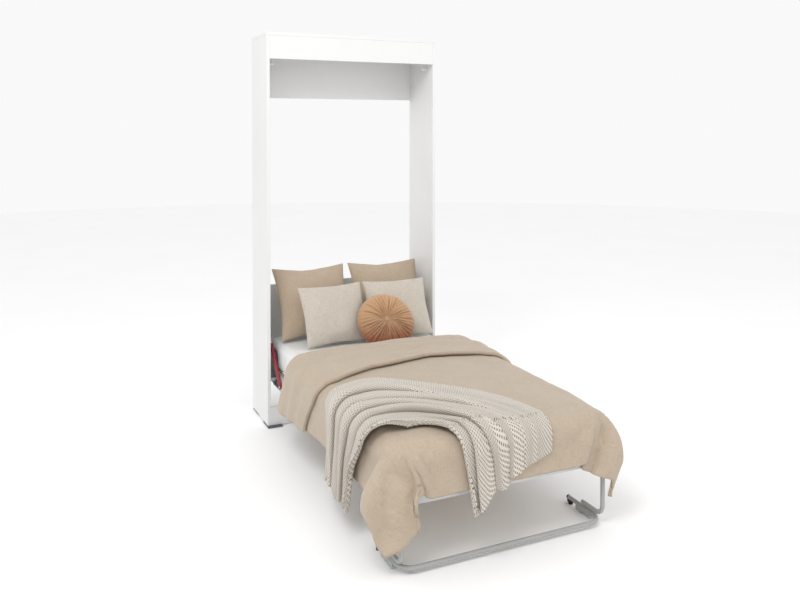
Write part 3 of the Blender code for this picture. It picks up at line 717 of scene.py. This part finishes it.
# ---------------------------------------------------------------- duvet
DUVET_DROP_SIDE = 0.222      # cloth past the block's edge at each side
DUVET_DROP_FOOT = 0.174
DUVET_THICK = 0.017
DUVET_STEP = 0.018
LEG_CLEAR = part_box("leg_upright_left")[0].y - 0.013     # the corner folds hang in front of the leg
CROWN = 0.008
BED_EDGE = 0.499             # half width of what the duvet hangs round
FOOT_EDGE = BED_FOOT - 0.026
HEAD_FOLD = 0.290            # where the duvet is folded back
CORNER_ROUND = 0.105
EDGE_ROUND = 0.058
BAND_EDGE = (                # (place across, how far along the bed the folded band reaches)
    (-0.80, 0.00), (-0.62, -0.09), (-0.48, -0.20), (-0.34, -0.145), (-0.20, -0.085),
    (0.12, -0.030), (0.38, -0.070), (0.56, -0.19), (0.80, -0.20),
)
BAND_ROWS = 46
FOLD_TURNS = 7
DUVET_TOP = DUVET_HIGH.z - 0.006
OVER_EDGE = DUVET_TOP - 0.03     # cloth lower than this hangs past an edge
DUVET_LENGTH = HEAD_FOLD - FOOT_EDGE + DUVET_DROP_FOOT
DUVET_CLOTH = {
    "quality": 6, "mass": 0.3, "air_damping": 2.0, "tension_stiffness": 60, "compression_stiffness": 60,
    "shear_stiffness": 8, "bending_stiffness": 22, "tension_damping": 10, "compression_damping": 10,
    "shear_damping": 10,
}


def hanging_form():
    """What the duvet lies on while it is draped: a padded block a little bigger than the mattress."""
    form = bmesh.new()
    top = DUVET_TOP - 0.010
    low = Vector((-BED_EDGE, FOOT_EDGE, top - 0.9))
    high = Vector((BED_EDGE, FOOT_EDGE + 1.6, top))
    bmesh.ops.create_cube(form, size=1.0, matrix=Matrix.LocRotScale((low + high) / 2, None, high - low))
    corners = [e for e in form.edges if abs(e.verts[0].co.z - e.verts[1].co.z) > 0.1]
    bmesh.ops.bevel(form, geom=corners, offset=CORNER_ROUND, segments=9, profile=0.5, affect="EDGES")
    rim = [e for e in form.edges if all(v.co.z > top - 0.001 for v in e.verts)]
    bmesh.ops.bevel(form, geom=rim, offset=EDGE_ROUND, segments=7, profile=0.5, affect="EDGES")
    block = add_form("hanging_form", form)
    block.modifiers.new("solid", "COLLISION")
    block.collision.thickness_outer = 0.006
    block.collision.cloth_friction = 8
    return block


def duvet_plan():
    """The flat cloth's x across and y down from the head fold: its corners reach a little further."""
    half = BED_EDGE + DUVET_DROP_SIDE
    across = np.linspace(-half, half, 2 * round(half / DUVET_STEP) + 1)
    along = np.linspace(0, DUVET_LENGTH, round(DUVET_LENGTH / DUVET_STEP) + 1)
    flat_x, flat_y = np.meshgrid(across, along)
    out_x = np.maximum(np.abs(flat_x) - BED_EDGE, 0) / DUVET_DROP_SIDE
    out_y = np.maximum(flat_y - (DUVET_LENGTH - DUVET_DROP_FOOT), 0) / DUVET_DROP_FOOT
    headward = np.clip(1 - flat_y / 0.7, 0, 1)
    footward = np.clip(1 - (DUVET_LENGTH - flat_y) / 0.50, 0, 1) ** 1.5
    sideward = np.clip((np.abs(flat_x) - 0.22) / (half - 0.22), 0, 1) ** 1.5
    flat_x = flat_x + np.sign(flat_x) * out_x * (0.020 * headward + 0.052 * footward)
    flat_y = flat_y + 0.032 * out_y * sideward
    return np.stack([flat_x, flat_y], -1)


def draped_sheet():
    """The duvet's middle surface, rows from the head fold to the foot hem, and its flat coordinates."""
    flat = duvet_plan()
    flat_x, flat_y = flat[..., 0], flat[..., 1]
    crown = CROWN * np.clip(1 - (flat_x / BED_EDGE) ** 2, 0, 1)
    height = DUVET_TOP + crown + 0.006 * grid_ripple(flat, size=0.21, seed=3.0)
    points = np.stack([flat_x, HEAD_FOLD - flat_y, height], -1)
    cloth = add_piece("duvet_cloth", sheet_mesh("duvet_cloth", points, flat), None)
    held = cloth.vertex_groups.new(name="held")
    lying = (np.abs(flat_x) < BED_EDGE - 0.085) & (points[..., 1] > FOOT_EDGE + 0.105)
    held.add(np.flatnonzero(lying.ravel()).tolist(), 1.0, "REPLACE")
    block = hanging_form()
    simulate(cloth, frames=42, touching=True, gravity=1.0, vertex_group_mass="held", **DUVET_CLOTH)
    draped = points_of(cloth).reshape(points.shape)
    for gone in (cloth, block):
        bpy.data.objects.remove(gone)
    return draped, flat


def held_within(values, limit, softness):
    """Values eased toward a limit so that they never pass it by more than the softness."""
    over = np.maximum(np.abs(values) - limit, 0)
    eased = softness * (1 - np.exp(-over / softness))
    return np.where(over > 0, np.sign(values) * (limit + eased), values)


def refine(grid, times=2):
    """A grid of points with more rows and columns, on smooth cubic lines through them."""
    for _ in range(2):
        count = grid.shape[0]
        place = np.linspace(0, count - 1, times * (count - 1) + 1)
        low = np.clip(np.floor(place).astype(int), 0, count - 2)
        share = (place - low)[:, None, None]
        before = grid[np.maximum(low - 1, 0)]
        first, second = grid[low], grid[low + 1]
        after = grid[np.minimum(low + 2, count - 1)]
        grid = cubic(before, first, second, after, share).transpose(1, 0, 2)
    return grid


def spread_ears(points):
    """The two corner folds drawn inward over the foot and in front of the leg, and the right one tucked."""
    x, y, z = points[..., 0].copy(), points[..., 1].copy(), points[..., 2]
    low = np.clip((OVER_EDGE - z) / 0.11, 0, 1)
    in_front = np.clip((FOOT_EDGE + 0.03 - y) / 0.04, 0, 1)
    # Both folds lean toward the middle, more so near their tips.
    spread = 0.075 + 0.14 * np.clip((0.28 - z) / 0.12, 0, 1)
    across = np.exp(-((np.abs(x) - 0.455) / spread) ** 2)
    x -= np.sign(x) * (0.050 + 0.012 * np.clip((0.24 - z) / 0.10, 0, 1)) * low * in_front * across
    # The left one bulges outward part way down; the right one is drawn in, more so toward its tip.
    left_foot = np.clip((-0.78 - y) / 0.12, 0, 1) * (x < -0.3)
    x -= 0.024 * left_foot * np.exp(-((z - 0.27) / 0.07) ** 2)
    right_foot = np.clip((-0.70 - y) / 0.20, 0, 1) * np.clip((x - 0.25) / 0.15, 0, 1)
    x -= (0.018 + 0.040 * np.clip((0.36 - z) / 0.20, 0, 1)) * right_foot
    # A groove where each fold leaves the foot's drop.
    crease = np.where(x < 0, 0.375, 0.350) + 0.40 * np.clip(z - 0.30, 0, 0.2)
    groove = np.exp(-((np.abs(x) - crease) / 0.011) ** 2) * np.clip((0.455 - z) / 0.05, 0, 1)
    y += 0.016 * groove * in_front
    # Cloth that would pass through the leg hangs in front of it.
    over_leg = np.clip((np.abs(x) - 0.405) / 0.03, 0, 1) * np.clip((0.525 - np.abs(x)) / 0.03, 0, 1) * low
    y = np.where(y < LEG_CLEAR + 0.07, np.minimum(y, LEG_CLEAR + 0.10 * (1 - over_leg)), y)
    return np.stack([x, y, z], -1)


def duvet_middle():
    """The draped middle surface in its final shape, its normals and its flat coordinates."""
    middle, flat = draped_sheet()
    depth = np.clip((OVER_EDGE - middle[..., 2]) / 0.2, 0, 1)
    near_head = np.clip((middle[..., 1] + 0.15) / 0.45, 0, 1)
    flare = 0.034 * depth * near_head
    middle[..., 0] += np.sign(middle[..., 0]) * flare
    middle[..., 1] += 0.8 * flare
    middle[..., 0] = held_within(middle[..., 0], BED_EDGE + 0.045, 0.026)
    foot_held = held_within(middle[..., 1], -DUVET_LOW.y - 0.016, 0.018)
    middle[..., 1] = np.where(middle[..., 1] < 0, foot_held, middle[..., 1])
    middle = refine(spread_ears(middle))
    flat = refine(flat)
    normals = grid_normals(middle)
    middle = middle + normals * (0.0028 * grid_ripple(flat, size=0.085, seed=11.0))[..., None]
    return middle, normals, flat


def folded_band(middle, normals, flat):
    """The rows past the head fold, first round the fold and then down the bed, and their flat coordinates."""
    rows, columns = middle.shape[:2]
    across = flat[0, :, 0]
    reach = np.interp(across, *zip(*BAND_EDGE))
    reach = np.convolve(np.pad(reach, 6, "edge"), np.ones(13) / 13, "valid")
    flank = np.clip((np.abs(middle[0, :, 0]) - 0.30) / 0.15, 0, 1)[:, None]
    lift = 0.022 - 0.006 * flank
    headward = np.array([[0.0, 1.0, 0.0]])
    points, spread_out = [], []
    for step in range(1, FOLD_TURNS):
        swing = math.pi * step / FOLD_TURNS
        offset = lift / 2 * (headward * math.sin(swing) + normals[0] * (1 - math.cos(swing)))
        points.append(middle[0] + offset)
        spread_out.append(np.stack([across, np.full(columns, -0.01 * step)], -1))
    width = HEAD_FOLD - reach
    grid_y = HEAD_FOLD - np.linspace(0, DUVET_LENGTH, rows)
    column = np.arange(columns)
    for step in range(BAND_ROWS):
        share = step / (BAND_ROWS - 1)
        distance = share * width
        place = np.interp(HEAD_FOLD - distance, grid_y[::-1], np.arange(rows)[::-1])
        low = np.clip(np.floor(place).astype(int), 0, rows - 2)
        part = (place - low)[:, None]
        base = middle[low, column] * (1 - part) + middle[low + 1, column] * part
        normal = normals[low, column] * (1 - part) + normals[low + 1, column] * part
        ridge = 0.0045 * math.sin(share * 17) * math.sin(math.pi * share)
        bulge = 0.008 * max(0.0, math.sin(math.pi * min(1.0, share * 1.02))) ** 0.5
        wave = 0.0035 * np.sin(across * 23 + 5 * share) * np.sin(math.pi * share)
        edge_roll = 0.004 * max(0.0, (share - 0.85) / 0.15)
        height = lift[:, 0] + ridge + bulge + wave + edge_roll
        points.append(base + normal * height[:, None])
        spread_out.append(np.stack([across, -0.06 - distance], -1))
    return np.array(points), np.array(spread_out)


def make_duvet():
    """A filled duvet draped over the bed, with its head end folded back into a wide band."""
    middle, normals, flat = duvet_middle()
    band, band_flat = folded_band(middle, normals, flat)
    points = np.concatenate([middle[::-1], band])
    spread_out = np.concatenate([flat[::-1], band_flat])
    linen = woven("washed_linen", (0.50, 0.41, 0.315), 0.42)
    piece = add_piece("duvet_cover", sheet_mesh("duvet_cover", points, spread_out), linen)
    thick = piece.modifiers.new("filling", "SOLIDIFY")
    thick.thickness = DUVET_THICK
    thick.offset = 0
    thick.use_even_offset = False
    apply_all(piece)
    piece.data.shade_smooth()
    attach(piece, "bed")
    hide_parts("duvet")
    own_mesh(piece)


# ---------------------------------------------------------------- throw
THROW_INNER = (      # the edge nearer the foot corner, in the duvet's unrolled plan, side tail to foot tail
    (-0.86, -0.640), (-0.69, -0.670), (-0.54, -0.790), (-0.42, -0.835), (-0.32, -0.850),
    (-0.245, -0.930), (-0.210, -1.060), (-0.180, -1.215),
)
THROW_OUTER = (
    (-0.86, -0.340), (-0.70, -0.330), (-0.50, -0.285), (-0.28, -0.240), (-0.08, -0.410),
    (0.10, -0.660), (0.175, -0.880), (0.175, -1.095),
)
THROW_FOLDS = 6.0
THROW_THICK = 0.007
THROW_ROUND = 0.062  # how tightly it rolls over the duvet's edges
THROW_GRID = (300, 250)


def curve_through(points, share):
    """A smooth curve through some plan points, read at shares 0 to 1 of the way along."""
    knots = np.array(points, float)
    knots = np.concatenate([[2 * knots[0] - knots[1]], knots, [2 * knots[-1] - knots[-2]]])
    place = np.clip(share, 0, 1) * (len(points) - 1)
    low = np.minimum(np.floor(place).astype(int), len(points) - 2)
    part = (place - low)[:, None]
    before, first, second, after = (knots[low + k] for k in range(4))
    return cubic(before, first, second, after, part)


def over_duvet(plan, height):
    """Points at a height above the duvet, from its unrolled plan: past an edge the plan rolls down."""
    radius = THROW_ROUND
    edge_x = -(BED_EDGE + 0.022) + radius
    edge_y = FOOT_EDGE - 0.024 + radius
    top = DUVET_TOP + 0.013
    x, y = plan[..., 0].copy(), plan[..., 1].copy()
    z = np.full_like(x, top) + height
    for axis, edge in ((x, edge_x), (y, edge_y)):
        past = np.maximum(edge - axis, 0)
        quarter = radius * math.pi / 2
        turn = np.clip(past, 0, quarter) / radius
        reach = radius + height
        over = past > 0
        axis[...] = np.where(over, edge - reach * np.sin(turn), axis)
        z = np.where(over, top - radius + reach * np.cos(turn) - np.maximum(past - quarter, 0), z)
    crown = CROWN * np.clip(1 - (x / BED_EDGE) ** 2, 0, 1) * (y > edge_y)
    return np.stack([x, y, z + crown], -1)


def between(inner, outer, share):
    """Places across the throw, at shares of the way from its inner edge to its outer one."""
    return inner[:, None] * (1 - share[..., None]) + outer[:, None] * share[..., None]


def throw_folds(s, t):
    """How high the gathered cloth stands at shares s along and t across it, and how far its folds lean."""
    loose_from = 0.80 - 0.24 * np.clip((s - 0.45) / 0.35, 0, 1)
    gather = 1 - 0.93 * np.clip((t - loose_from) / 0.10, 0, 1)
    drift = 0.30 * np.sin(4.0 * s + 1.0) + 0.16 * np.sin(9.0 * s + 5 * t) + 0.08 * np.sin(17 * s - 11 * t)
    phase = THROW_FOLDS * (t + 0.10 * np.sin(math.pi * t)) + drift
    rope = np.abs(np.sin(math.pi * phase)) ** 0.5
    uneven = 0.7 + 0.3 * np.sin(2.4 * np.floor(phase) + 5 * s)
    taller_at_foot = 1 + 0.25 * np.clip((s - 0.7) / 0.3, 0, 1)
    tall = (0.038 * uneven + 0.006 * np.sin(7 * s + 9 * t)) * gather * taller_at_foot
    height = 0.004 + tall * rope + 0.004 * (1 - gather) * np.sin(9 * s + 14 * t) ** 2
    return height, 1.35 * height * gather


def throw_plan(inner, outer, s, t, lean):
    """Where the cloth lies in the duvet's unrolled plan, with an uneven hem at each of its ends."""
    width = np.linalg.norm(outer - inner, axis=1)[:, None]
    plan = between(inner, outer, np.clip(t - lean / width, -0.02, 1))
    tails = 0.022 * np.sin(2 * math.pi * 1.7 * t + 2.2) + 0.014 * np.sin(2 * math.pi * 4.1 * t)
    start = np.clip(1 - s / 0.16, 0, 1) ** 1.5
    plan[..., 0] -= tails * start * 0.6
    end = np.clip((s - 0.86) / 0.14, 0, 1) ** 1.3
    dip = 0.060 * np.exp(-((t - 0.13) / 0.12) ** 2) + 0.02 * np.exp(-((t - 0.42) / 0.10) ** 2)
    dip += 0.008 * np.sin(2 * math.pi * 5 * t) * (t < 0.62)
    plan[..., 1] -= dip * end
    return plan


def cloth_coordinates(points, unfolded):
    """The cloth's own coordinates about its middle, its width and its length, from mean true lengths."""
    steps_t = np.linalg.norm(np.diff(points, axis=1), axis=2)
    steps_s = np.linalg.norm(np.diff(unfolded, axis=0), axis=2)
    wide, long = steps_t.sum(1).mean(), steps_s.sum(0).mean()
    across_cloth = np.concatenate([[0], np.cumsum(steps_t.mean(0))]) - wide / 2
    along_cloth = np.concatenate([[0], np.cumsum(steps_s.mean(1))]) - long / 2
    fuller = np.convolve(np.pad(steps_t.sum(1) / wide, 20, "edge"), np.ones(41) / 41, "valid") ** 0.65
    longer = (steps_s.sum(0) / long) ** 0.5
    flat = np.stack([across_cloth[None] * fuller[:, None], along_cloth[:, None] * longer[None]], -1)
    return flat, float(wide), float(long)


def make_throw():
    """A chunky knitted throw, gathered into long folds that arch from the left side to the foot."""
    rows, columns = THROW_GRID
    share = np.linspace(0, 1, rows)
    inner = curve_through(THROW_INNER, share)
    outer = curve_through(THROW_OUTER, share)
    s, t = np.meshgrid(share, np.linspace(0, 1, columns), indexing="ij")
    height, lean = throw_folds(s, t)
    points = over_duvet(throw_plan(inner, outer, s, t, lean), height)
    fallen = np.clip((OVER_EDGE - points[..., 2]) / 0.35, 0, 1)
    points[..., 0] -= 0.014 * fallen * (1 - s)
    unfolded = over_duvet(between(inner, outer, t), 0 * t)
    flat, wide, long = cloth_coordinates(points, unfolded)
    # The third colour is painted shade for the gaps between the stitches.
    knit = knitted("chunky_knit", (0.70, 0.64, 0.56), (0.16, 0.12, 0.09))
    piece = add_piece("knit_throw", sheet_mesh("knit_throw", points, flat), knit)
    thick = piece.modifiers.new("yarn", "SOLIDIFY")
    thick.thickness = THROW_THICK
    thick.offset = 0
    apply_all(piece)
    piece.data.shade_smooth()
    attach(piece, "bed")
    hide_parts("throw")
    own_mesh(piece)


# ---------------------------------------------------------------- stage, light and camera
def make_stage():
    form = bmesh.new()
    bmesh.ops.create_circle(form, cap_ends=True, radius=14.0, segments=96)
    look = Look("pale_floor", (0.97, 0.97, 0.97), 0.8, Specular_IOR_Level=0.1)
    cloud = look.noise(look.where(), 1.2, 3)
    look.feed("Base Color", look.ramp(cloud, [(0.3, (0.96,) * 3), (0.7, (0.975,) * 3)]))
    floor = add_form("floor", form, look.material)
    floor.location.z = -0.001


def area_light(name, place, target, size, power):
    light = bpy.data.lights.new(name, "AREA")
    light.shape = "DISK"
    light.size = size
    light.energy = power
    lamp = bpy.data.objects.new(name, light)
    lamp.location = place
    lamp.rotation_euler = (Vector(target) - Vector(place)).to_track_quat("-Z", "Y").to_euler()
    bpy.context.scene.collection.objects.link(lamp)


def make_light():
    world = bpy.data.worlds.new("studio")
    world.use_nodes = True
    world.node_tree.nodes["Background"].inputs["Color"].default_value = (1.0, 1.0, 1.0, 1.0)
    world.node_tree.nodes["Background"].inputs["Strength"].default_value = 0.95
    bpy.context.scene.world = world
    middle = (0, 0, 0.9)
    area_light("key", (-2.6, -2.6, 4.6), middle, 2.2, 95)
    area_light("fill", (3.8, -3.0, 2.6), middle, 3.0, 20)
    bpy.context.scene.view_settings.view_transform = "Standard"


CAMERA_PLACE = (-1.68029, -3.61618, 1.66409)
CAMERA_TURN = -24.596        # degrees about +Z from looking along +Y
CAMERA_DOWN = 1.18           # degrees below level


def make_camera():
    lens = bpy.data.cameras.new("camera")
    lens.sensor_width = 36.0
    lens.lens = 35.817
    lens.shift_x = -0.001
    lens.shift_y = -0.1936
    lens.clip_end = 60
    camera = bpy.data.objects.new("camera", lens)
    camera.location = CAMERA_PLACE
    camera.rotation_euler = (math.radians(90 - CAMERA_DOWN), 0, math.radians(CAMERA_TURN))
    bpy.context.scene.collection.objects.link(camera)
    bpy.context.scene.camera = camera


make_camera()
make_light()
make_stage()
finish_cad_nodes()
make_mattress()
make_pillows()
make_round_cushion()
make_duvet()
make_throw()
